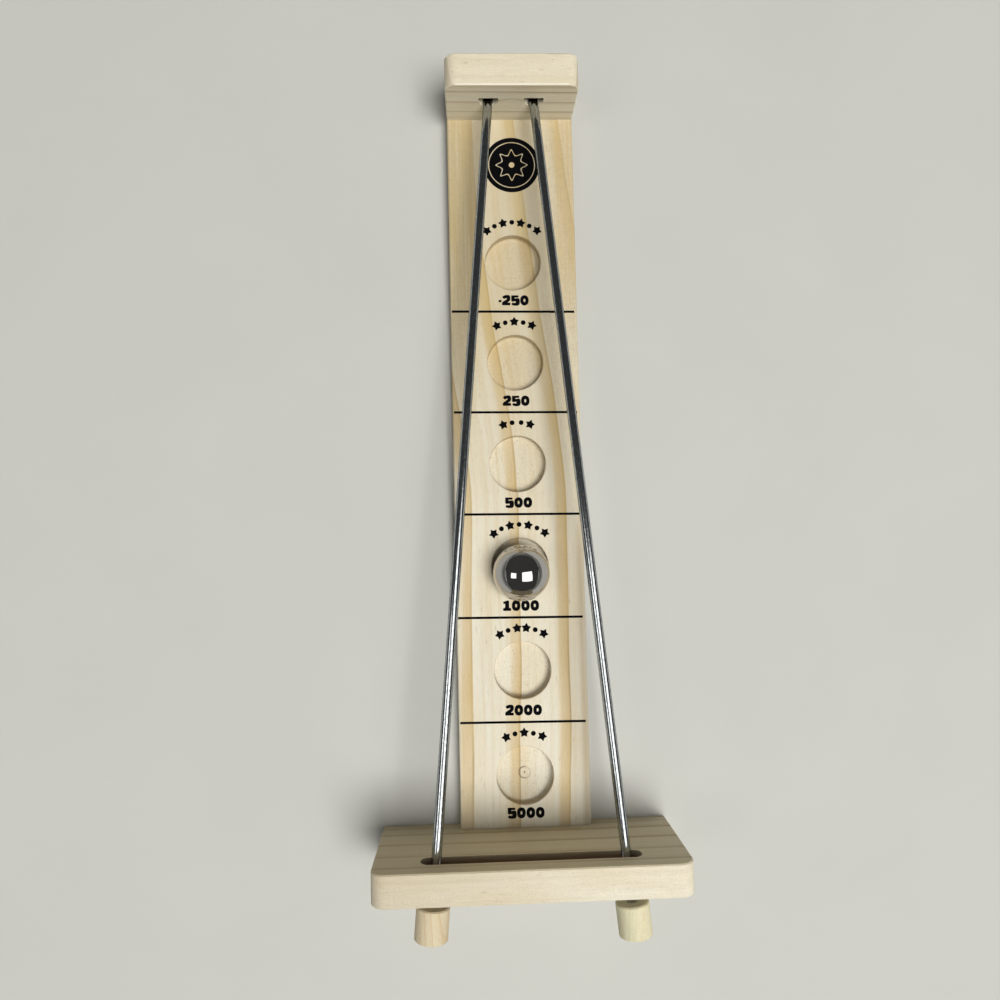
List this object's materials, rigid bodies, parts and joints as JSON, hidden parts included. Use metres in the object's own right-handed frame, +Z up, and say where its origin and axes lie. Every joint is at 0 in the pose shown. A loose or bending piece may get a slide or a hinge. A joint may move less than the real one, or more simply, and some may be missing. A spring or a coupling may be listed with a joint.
{
  "type": "rolling ball game",
  "caption": "Wooden table game with a row of cups in a flat bed, two steel rails that swing apart between end blocks, and a steel ball that rolls on them and drops into a cup.",
  "frame": {"origin": "On the underside of the bed, on the centre line, halfway along the bed. The game stands on the table with its underside in this plane.", "axes": "+X across the bed, to the right as the player sees it; +Y from the player's end towards the far block; +Z up"},
  "size_m": [0.127, 0.3672, 0.05],
  "materials": {
    "bed_pine": "planed pine, thin clear sealer, satin",
    "block_pine": "sanded pine, thin clear sealer, satin",
    "knob_wood": "turned dowel, sanded, unpolished",
    "rail_steel": "drawn bright steel rod",
    "ball_steel": "polished steel, mirror bright",
    "screw_steel": "zinc plated steel",
    "print_ink": "screen printed ink, matte"
  },
  "bodies": {
    "game_frame": {"track_board": "bed_pine", "near_block": "block_pine", "far_block": "block_pine", "near_block_screws": "screw_steel", "far_block_screws": "screw_steel"},
    "left_rail_arm": {"left_rail": "rail_steel", "left_knob": "knob_wood"},
    "right_rail_arm": {"right_rail": "rail_steel", "right_knob": "knob_wood"},
    "steel_ball": {"ball": "ball_steel"}
  },
  "joints": [
    {"name": "left_rail_swing", "type": "hinge", "parent": "game_frame", "child": "left_rail_arm", "pos_m": [-0.00972, 0.159, 0.02011], "axis": [0, 0, 1], "range_deg": [-0.45, 5.4]},
    {"name": "right_rail_swing", "type": "hinge", "parent": "game_frame", "child": "right_rail_arm", "pos_m": [0.00972, 0.159, 0.02011], "axis": [0, 0, -1], "range_deg": [-0.45, 5.4]},
    {"name": "ball_lift", "type": "slide", "parent": "game_frame", "child": "steel_ball", "axis": [0, 0, 1], "range_m": [0, 0.04]}
  ]
}
